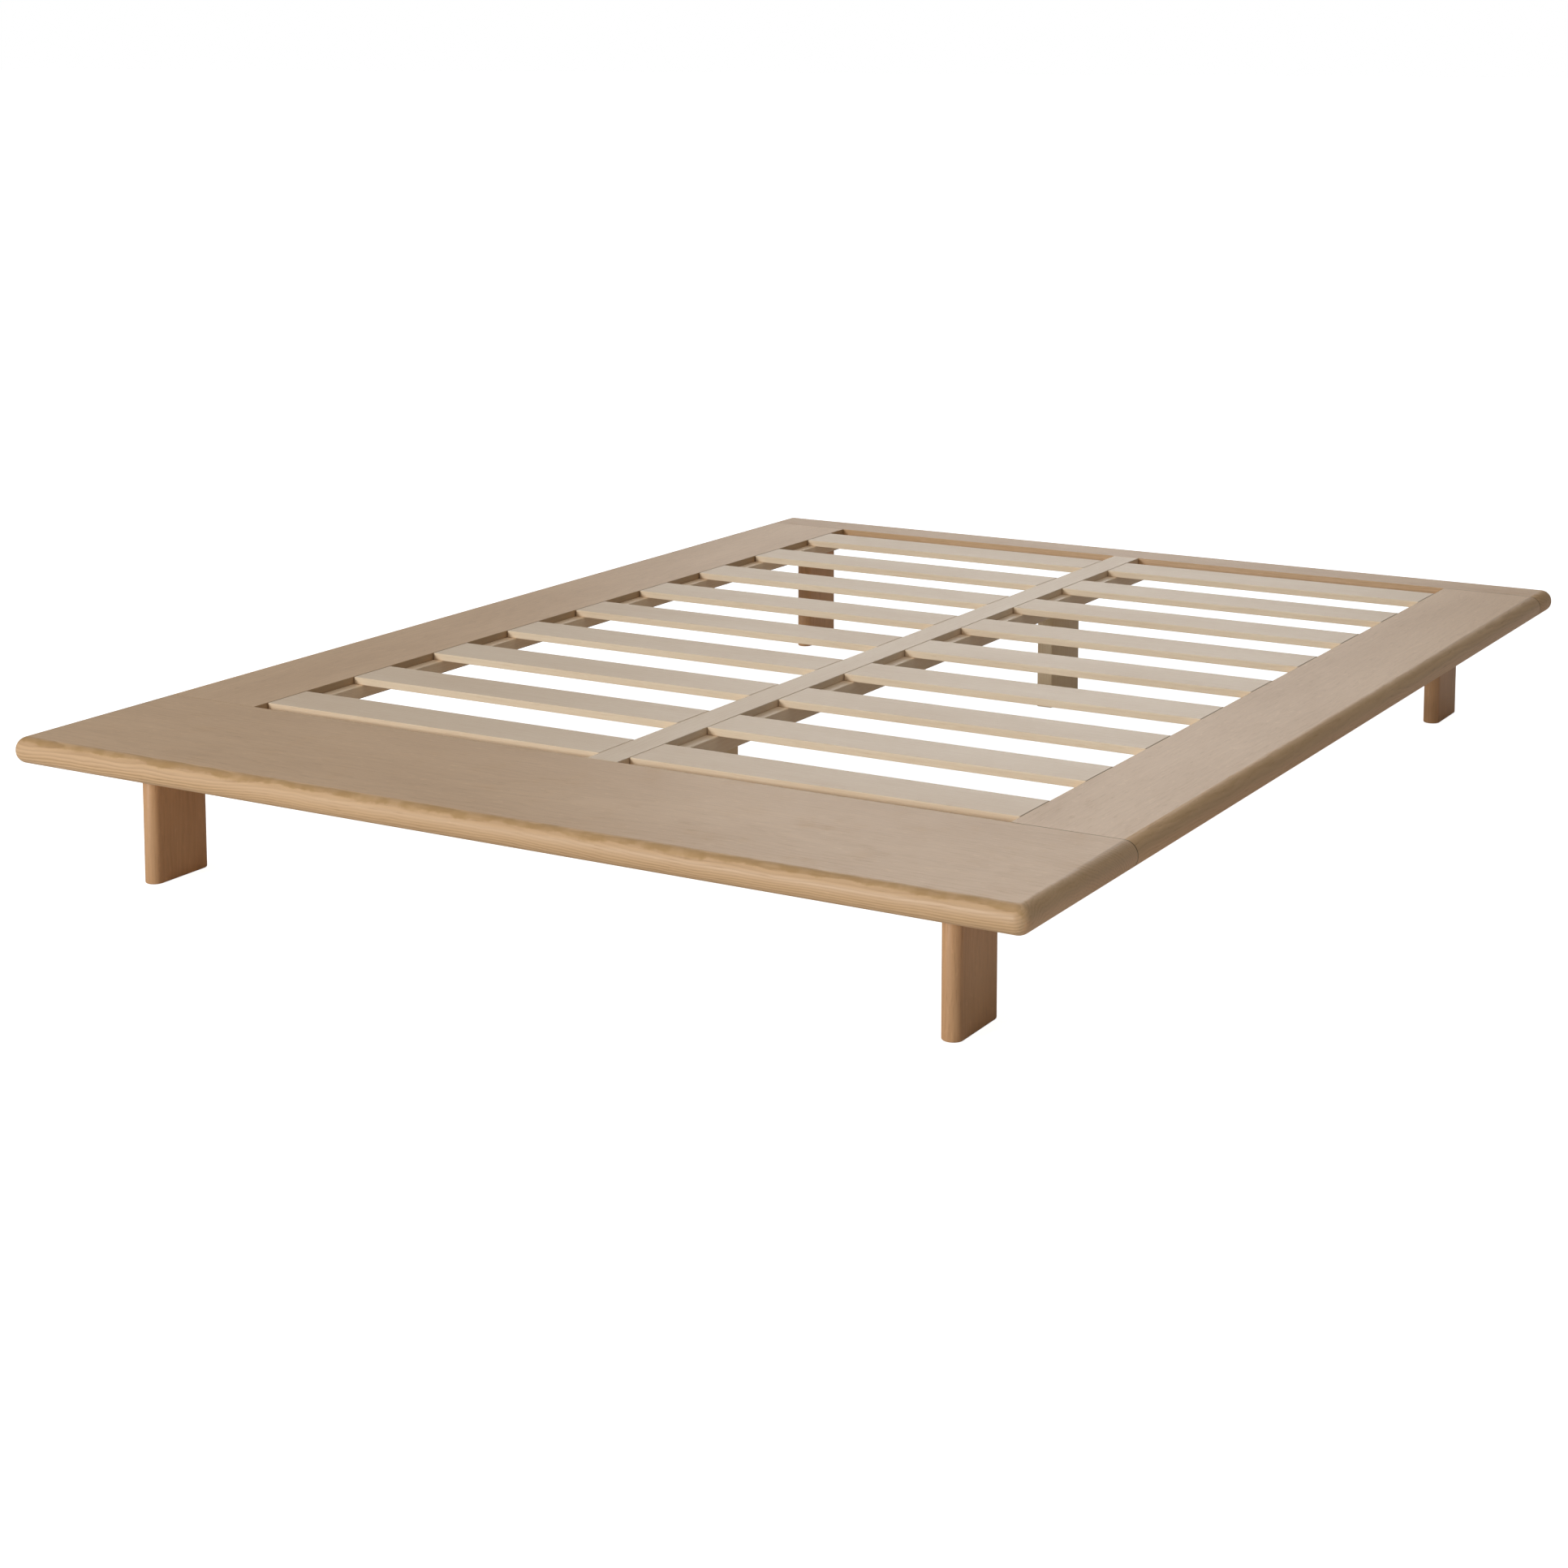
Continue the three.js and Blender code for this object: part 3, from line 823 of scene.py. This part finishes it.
def makeBarTree():
    # One block of points becomes a bar with round arrises, and a row of copies becomes one mesh.
    tree, given, result = startTree(
        "easedBars", "GeometryNodeTree",
        [("Size", "Vector", (1.0, 1.0, 1.0)), ("Ease", "Float", 0.001), ("Count", "Int", 1),
         ("Start", "Vector", None), ("Step", "Vector", None), ("Grain Turn", "Float", 0.0),
         ("Seed", "Int", 0), ("Material", "Material", None)],
        [("Geometry", "Geometry")],
    )

    def rampVector(value, low, high, start, end):
        numbers = {"From Min": low, "From Max": high, "To Min": start, "To Max": end}
        inputs = {"Vector": value, **{name: [number] * 3 for name, number in numbers.items()}}
        return live(addNode(tree, "ShaderNodeMapRange", inputs, data_type="FLOAT_VECTOR").outputs, "Vector")

    def store(geometry, name, kind, domain, value):
        inputs = {"Geometry": geometry, "Name": name, "Value": value}
        node = addNode(tree, "GeometryNodeStoreNamedAttribute", inputs, data_type=kind, domain=domain)
        return node.outputs["Geometry"]

    counts = {"Vertices " + axis: barBlock["points"] for axis in "XYZ"}
    block = addNode(tree, "GeometryNodeMeshCube", {"Size": [barBlock["size"]] * 3, **counts})
    position = addNode(tree, "GeometryNodeInputPosition").outputs[0]
    reach = calcVector(tree, "ABSOLUTE", position)
    half = calcVector(tree, "SCALE", given["Size"], 0.5)
    ease = calcVector(tree, "SCALE", (1.0, 1.0, 1.0), given["Ease"])
    inner = calcVector(tree, "SUBTRACT", half, ease)
    # from the middle out, the four planes of points are: flat, flat's edge, middle of the rounding, side
    flatFrom, flatUntil = barBlock["flatFrom"], barBlock["flatUntil"]
    rounding = calcVector(tree, "MULTIPLY", rampVector(reach, flatUntil, 1.0, 0.0, 1.0), ease)
    flatStrip = rampVector(reach, flatFrom, flatUntil, -barBlock["flatMargin"], 0.0)
    spread = calcVector(tree, "ADD", calcVector(tree, "ADD", inner, rounding), flatStrip)
    core = calcVector(tree, "MINIMUM", spread, inner)
    outwards = calcVector(tree, "NORMALIZE", calcVector(tree, "SUBTRACT", spread, core))
    corner = calcVector(tree, "ADD", core, calcVector(tree, "SCALE", outwards, given["Ease"]))
    corner = calcVector(tree, "MULTIPLY", corner, calcVector(tree, "SIGN", position))
    inputs = {"Geometry": block.outputs["Mesh"], "Position": corner}
    shaped = addNode(tree, "GeometryNodeSetPosition", inputs)
    smooth = addNode(tree, "GeometryNodeSetShadeSmooth", {"Geometry": shaped.outputs["Geometry"]})
    inputs = {"Vector": position, "Angle": given["Grain Turn"]}
    turned = addNode(tree, "ShaderNodeVectorRotate", inputs, rotation_type="Z_AXIS")
    bar = store(smooth.outputs["Geometry"], "place", "FLOAT_VECTOR", "POINT", position)
    bar = store(bar, "halfSize", "FLOAT_VECTOR", "POINT", half)
    bar = store(bar, "grain", "FLOAT_VECTOR", "POINT", turned.outputs["Vector"])
    inputs = {"Count": given["Count"], "Start Location": given["Start"], "Offset": given["Step"]}
    row = addNode(tree, "GeometryNodeMeshLine", inputs, mode="OFFSET", count_mode="TOTAL")
    inputs = {"Points": row.outputs["Mesh"], "Instance": bar}
    copies = addNode(tree, "GeometryNodeInstanceOnPoints", inputs)
    inputs = {"Max": barBlock["seedRange"], "Seed": given["Seed"]}
    chance = addNode(tree, "FunctionNodeRandomValue", inputs, data_type="FLOAT")
    seeded = store(copies.outputs["Instances"], "seed", "FLOAT", "INSTANCE", live(chance.outputs, "Value"))
    finishTree(tree, seeded, given, result)
    return tree


def finishTree(tree, instances, given, result):
    real = addNode(tree, "GeometryNodeRealizeInstances", {"Geometry": instances})
    inputs = {"Geometry": real.outputs["Geometry"], "Material": given["Material"]}
    painted = addNode(tree, "GeometryNodeSetMaterial", inputs)
    feed(result["Geometry"], painted.outputs["Geometry"])


def grow(name, tree, points=(), **values):
    # an object whose mesh a tree makes; its inputs are set by identifier before it is first evaluated
    mesh = bpy.data.meshes.new(name)
    mesh.from_pydata(points, [], [])
    piece = link(bpy.data.objects.new(name, mesh))
    modifier = piece.modifiers.new("grow", "NODES")
    modifier.node_group = tree
    for item in tree.interface.items_tree:
        if item.in_out == "INPUT" and item.name in values:
            modifier[item.identifier] = values[item.name]
    return freeze(piece)


bars = {
    "slatEase": 0.0011,
    "stripEase": 0.0009,
    "beamEase": 0.0015,
    "tenonWidth": 0.060,
    "tenonHeight": 0.012,
    "tenonRoot": 0.001,      # how far a tenon starts inside the plank
    "tenonEase": 0.0010,
    "ledgerEase": 0.0012,
    "slatSeeds": {"left": 11, "right": 12},
    "ledgerSeeds": {"left": 21, "right": 22},
    "stripSeed": 31,
    "beamSeed": 32,
    "tenonSeed": 33,
}
alongX, alongY = 0.0, -quarterTurn  # the turn that brings the grain along that axis
barTree = makeBarTree()


def growBars(name, centre, size, count, step, material, ease, turn, seed):
    values = {"Size": size, "Ease": ease, "Count": count, "Start": centre, "Step": step,
              "Grain Turn": turn, "Seed": seed, "Material": material}
    return grow(name, barTree, **values)


def growBarsOn(name, nodes, material, ease, turn, seed):
    # CAD nodes in an even row: the first gives the size, and the second gives the step
    centre, half = middleAndHalf(nodes[0])
    step = middleAndHalf(nodes[1])[0] - centre if len(nodes) > 1 else Vector()
    return growBars(name, centre, half * 2, len(nodes), step, material, ease, turn, seed)


def makeSlats():
    for side, seed in bars["slatSeeds"].items():
        names = nodesNamed(f"slat_{side}_")
        slats = growBarsOn(f"slats_{side}", names, slatOak, bars["slatEase"], alongX, seed)
        finishPiece(slats, names)


def makeSupports():
    for side, seed in bars["ledgerSeeds"].items():
        name = f"ledger_{side}"
        ledger = growBarsOn(name + "_bar", [name], ledgerOak, bars["ledgerEase"], alongY, seed)
        finishPiece(ledger, [name])
    strip = growBarsOn("centre_strip_bar", ["centre_strip"], stripOak, bars["stripEase"], alongY,
                       bars["stripSeed"])
    finishPiece(strip, ["centre_strip"])


def makeBeam():
    # the plank reaches from board to board, and a thin tenon at each end goes into the boards
    centre, half = middleAndHalf("centre_beam")
    shoulder = (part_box("back_rail")[0].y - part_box("front_rail")[1].y) / 2
    size = Vector((half.x * 2, shoulder * 2, half.z * 2))
    plank = growBars("centre_beam_bar", centre, size, 1, Vector(), beamOak, bars["beamEase"], alongY,
                     bars["beamSeed"])
    finishPiece(plank, ["centre_beam"])
    length = half.y - shoulder + bars["tenonRoot"]
    size = Vector((bars["tenonWidth"], length, bars["tenonHeight"]))
    step = Vector((0, 2 * half.y - length, 0))
    tenons = growBars("centre_beam_tenons", centre - step / 2, size, 2, step, beamOak, bars["tenonEase"],
                      alongY, bars["tenonSeed"])
    finishPiece(tenons, [])


makeSlats()
makeSupports()
makeBeam()
print("slats and their supports made")


# Legs: slabs with round ends at the corners, square-edged ones under the beam

leg = {
    "squareEase": 0.0015,
    "footEase": 0.0020,
    "topEase": 0.0004,
    "ovalSteps": 16,
    "squareSteps": 3,
    "easeSteps": 3,
    "flatMargin": 0.001,     # a narrow strip that keeps the shading of the flats flat
    "sharpAngle": 40,
    "firstSeed": 41.0,
}


def makeLeg(node, oval, seed):
    centre, half = middleAndHalf(node)
    steps = leg["ovalSteps"] if oval else leg["squareSteps"]
    bottom, top, foot, margin = centre.z - half.z, centre.z + half.z, leg["footEase"], leg["flatMargin"]

    def ring(inset, z):
        size = (half.x - inset, half.y - inset)
        return roundedPlan(centre, size, size[0] if oval else leg["squareEase"], z, steps)

    rings = [ring(foot + margin, bottom)]
    for step in range(leg["easeSteps"] + 1):
        turn = quarterTurn * step / leg["easeSteps"]
        rings.append(ring(foot * (1 - math.sin(turn)), bottom + foot * (1 - math.cos(turn))))
    rings += [ring(0, bottom + foot + margin), ring(0, top - margin), ring(leg["topEase"], top)]
    bm = bmesh.new()
    loft(bm, rings)
    mesh = meshFrom(bm, node)
    shadeByAngle(mesh, leg["sharpAngle"])
    tagWood(mesh, centre, half, lambda p: (p.z, p.y, p.x), seed)
    mesh.materials.append(legOak if oval else centreLegOak)
    finishPiece(link(bpy.data.objects.new(node + "_post", mesh)), [node])


def makeLegs():
    posts = [n for n in nodesNamed("leg_") + nodesNamed("centre_leg_") if "stud" not in n]
    for number, name in enumerate(posts):
        makeLeg(name, name.startswith("leg_"), leg["firstSeed"] + number)


makeLegs()
print("legs made")


# Steel: corner plates, and screws by geometry nodes

plate = {
    "ease": 0.0003,
    "easeAngle": 60,
    "sharpAngle": 30,
    "sinkDepth": 0.0030,
    "sinkRadius": 0.0063,
    "holeRadius": 0.0033,
    "holeSides": 32,
    "cutBeyond": 0.001,      # the hole cutter stands this far out of the plate
}
screws = {
    "headRadius": 0.0058,
    "shaftRadius": 0.0028,
    "headDepth": 0.0029,
    "headSides": 24,
    "shaftSides": 16,
    "tipRadius": 0.0006,
    "slots": ((1.1, 0.26, 0.60), (0.26, 1.1, 0.64)),  # the cross recess, in head radii
    "sharpAngle": 30,
    "plateScrewLength": 0.026,
    "slatScrewLength": 0.024,
    "beamScrewLength": 0.036,
    "proud": 0.0002,         # a screw's head stands this far out of the wood or steel
    "ledgerInset": 0.010,    # slat screw from the ledger's outer side
    "beamInset": 0.010,      # slat screw from the beam's side
    "plateSeed": 5,
    "slatSeed": 6,
}


def circle(x, y, radius, z, sides):
    turns = [2 * math.pi * k / sides for k in range(sides)]
    return [(x + radius * math.cos(t), y + radius * math.sin(t), z) for t in turns]


def makePlate(node):
    centre, half = middleAndHalf(node)
    bottom, top = centre.z - half.z, centre.z + half.z
    bm = bmesh.new()
    loft(bm, [plateOutline(centre, half, z) for z in (bottom, top)])
    piece = link(bpy.data.objects.new(node + "_steel", meshFrom(bm, node)))
    bm = bmesh.new()
    for screw in nodesNamed(node.replace("corner_plate", "plate_screw")):
        at = middleAndHalf(screw)[0]
        sink, hole, beyond = plate["sinkRadius"], plate["holeRadius"], plate["cutBeyond"]
        rows = ((sink, bottom - beyond), (sink, bottom), (hole, bottom + plate["sinkDepth"]),
                (hole, top + beyond))
        loft(bm, [circle(at.x, at.y, radius, z, plate["holeSides"]) for radius, z in rows])
    cutter = link(bpy.data.objects.new("holeCutter", meshFrom(bm, "holeCutter")))
    addBoolean(piece, cutter)
    addBevel(piece, plate["ease"], 1, plate["easeAngle"])
    freeze(piece)
    bpy.data.objects.remove(cutter)
    shadeByAngle(piece.data, plate["sharpAngle"])
    setMaterial(piece.data, zincSteel)
    finishPiece(piece, [node])


def makeScrewTree():
    # A countersunk screw with a cross recess, head down on each point, each turned its own way.
    tree, given, result = startTree(
        "crossScrews", "GeometryNodeTree",
        [("Points", "Geometry", None), ("Head Radius", "Float", 0.006), ("Shaft Radius", "Float", 0.003),
         ("Head Depth", "Float", 0.003), ("Length", "Float", 0.026), ("Seed", "Int", 0),
         ("Material", "Material", None)],
        [("Geometry", "Geometry")],
    )

    def addCone(sides, top, bottom, depth):
        inputs = {"Vertices": sides, "Radius Top": top, "Radius Bottom": bottom, "Depth": depth}
        return addNode(tree, "GeometryNodeMeshCone", inputs).outputs["Mesh"]

    cut = addCone(screws["headSides"], given["Shaft Radius"], given["Head Radius"], given["Head Depth"])
    shaft = addCone(screws["shaftSides"], screws["tipRadius"], given["Shaft Radius"], given["Length"])
    for size in screws["slots"]:
        size = calcVector(tree, "SCALE", size, given["Head Radius"])
        slot = addNode(tree, "GeometryNodeMeshCube", {"Size": size})
        inputs = {"Mesh 1": cut, "Mesh 2": slot.outputs["Mesh"]}
        cut = addNode(tree, "GeometryNodeMeshBoolean", inputs, operation="DIFFERENCE").outputs["Mesh"]
    lift = addNode(tree, "ShaderNodeCombineXYZ", {"Z": given["Head Depth"]}).outputs[0]
    raised = addNode(tree, "GeometryNodeTransform", {"Geometry": shaft, "Translation": lift})
    whole = addNode(tree, "GeometryNodeJoinGeometry", {"Geometry": cut})
    feed(whole.inputs["Geometry"], raised.outputs["Geometry"])
    inputs = {"Min": (0.0, 0.0, 0.0), "Max": (0.0, 0.0, math.pi), "Seed": given["Seed"]}
    chance = addNode(tree, "FunctionNodeRandomValue", inputs, data_type="FLOAT_VECTOR")
    inputs = {"Points": given["Points"], "Instance": whole.outputs["Geometry"],
              "Rotation": live(chance.outputs, "Value")}
    copies = addNode(tree, "GeometryNodeInstanceOnPoints", inputs)
    finishTree(tree, copies.outputs["Instances"], given, result)
    return tree


screwTree = makeScrewTree()


def growScrews(name, points, length, seed, nodes=()):
    values = {"Head Radius": screws["headRadius"], "Shaft Radius": screws["shaftRadius"],
              "Head Depth": screws["headDepth"], "Length": length - screws["headDepth"], "Seed": seed,
              "Material": zincSteel}
    piece = grow(name, screwTree, points, **values)
    shadeByAngle(piece.data, screws["sharpAngle"])
    finishPiece(piece, nodes)


def makeSteelwork():
    for node in nodesNamed("corner_plate"):
        makePlate(node)
    plateScrews = nodesNamed("plate_screw")
    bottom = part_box(plateScrews[0])[0].z - screws["proud"]
    points = [(*middleAndHalf(n)[0].xy, bottom) for n in plateScrews]
    growScrews("plate_screws", points, screws["plateScrewLength"], screws["plateSeed"], plateScrews)
    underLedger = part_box("ledger_left")[0].z - screws["proud"]
    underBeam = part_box("centre_beam")[0].z - screws["proud"]
    ledgerX = abs(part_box("ledger_left")[0].x) - screws["ledgerInset"]
    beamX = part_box("centre_beam")[1].x - screws["beamInset"]
    rows = [middleAndHalf(n)[0].y for n in nodesNamed("slat_left_")]
    for name, x, z, length in (("ledger", ledgerX, underLedger, screws["slatScrewLength"]),
                               ("beam", beamX, underBeam, screws["beamScrewLength"])):
        points = [(sign * x, y, z) for sign in (-1, 1) for y in rows]
        growScrews(name + "_slat_screws", points, length, screws["slatSeed"])


makeSteelwork()
print("steelwork made")


# What still shows of the CAD nodes: tenons and studs inside the joints

for name, node in cadNodes.items():
    if not node.hide_render:
        setMaterial(node.data, tenonBeech if "tenon" in name else zincSteel)


# Studio: floor, sky, lights and camera

studio = {
    "floorSize": 200.0,
    "floorTone": 0.80,
    "floorDrop": 0.0003,     # keeps the floor clear of the feet
    "floorGlow": 0.92,       # light that only the eye sees, so that the floor stays pale under the bed
    "sky": 0.145,
    "lightDistance": 12.0,
    # name: degrees round from straight behind to the left, degrees up, (width, height), power
    "lights": {
        "frontKey": (162, 13.5, (2.5, 2.5), 645),
        "backGlow": (24, 25, (4.5, 5.0), 104),
        "backRight": (12, 21, (5.0, 6.0), 60),
        "backLeft": (42, 20, (8.0, 6.0), 62),
        "topSoft": (0, 90, (10.6, 10.6), 330),
    },
}


def makeFloor():
    half = studio["floorSize"] / 2
    mesh = bpy.data.meshes.new("floor")
    z = cadLow.z - studio["floorDrop"]
    corners = [(-half, -half, z), (half, -half, z), (half, half, z), (-half, half, z)]
    mesh.from_pydata(corners, [], [(0, 1, 2, 3)])
    floor = link(bpy.data.objects.new("floor", mesh))
    material, tree, shader = startMaterial("floorPaint")
    tone = studio["floorTone"]
    for name, value in (("Base Color", (tone, tone, tone, 1.0)), ("Roughness", 1.0),
                        ("Specular IOR Level", 0.0), ("Emission Color", (1.0, 1.0, 1.0, 1.0))):
        feed(shader[name], value)
    seen = addNode(tree, "ShaderNodeLightPath").outputs["Is Camera Ray"]
    feed(shader["Emission Strength"], calc(tree, "MULTIPLY", seen, studio["floorGlow"]))
    mesh.materials.append(material)


def makeSky():
    world = bpy.data.worlds.new("studioSky")
    bpy.context.scene.world = world
    world.use_nodes = True
    tree = world.node_tree
    tree.nodes.clear()
    seen = addNode(tree, "ShaderNodeLightPath").outputs["Is Camera Ray"]
    strength = rampValue(tree, seen, 0.0, 1.0, studio["sky"], 1.0, False)
    sky = addNode(tree, "ShaderNodeBackground", {"Color": (1.0, 1.0, 1.0, 1.0), "Strength": strength})
    feed(addNode(tree, "ShaderNodeOutputWorld").inputs["Surface"], sky.outputs["Background"])


def makeLight(name, around, up, size, power):
    lamp = bpy.data.lights.new(name, "AREA")
    lamp.shape = "RECTANGLE"
    lamp.size, lamp.size_y = size
    lamp.energy = power
    light = link(bpy.data.objects.new(name, lamp))
    a, e = math.radians(around), math.radians(up)
    direction = Vector((-math.sin(a) * math.cos(e), math.cos(a) * math.cos(e), math.sin(e)))
    light.location = direction * studio["lightDistance"] + Vector((0.0, 0.0, cadHigh.z))
    light.rotation_euler = direction.to_track_quat("Z", "Y").to_euler()


view = {
    "place": (2.240, -4.128, 1.254),
    "tilt": 7.008,           # degrees below level
    "turn": 30.338,          # degrees to the left of straight back
    "sensor": 36.0,
    "lens": 65.04,
    "rise": -0.25,           # lens shift, so that the legs stand nearly upright
}


def makeCamera():
    camera = link(bpy.data.objects.new("camera", bpy.data.cameras.new("camera")))
    camera.location = view["place"]
    camera.rotation_euler = (math.radians(90 - view["tilt"]), 0.0, math.radians(view["turn"]))
    camera.data.sensor_width = view["sensor"]
    camera.data.lens = view["lens"]
    camera.data.shift_y = view["rise"]
    bpy.context.scene.camera = camera


makeFloor()
makeSky()
for name, setting in studio["lights"].items():
    makeLight(name, *setting)
makeCamera()
bpy.context.scene.view_settings.view_transform = "Standard"
print("studio made")
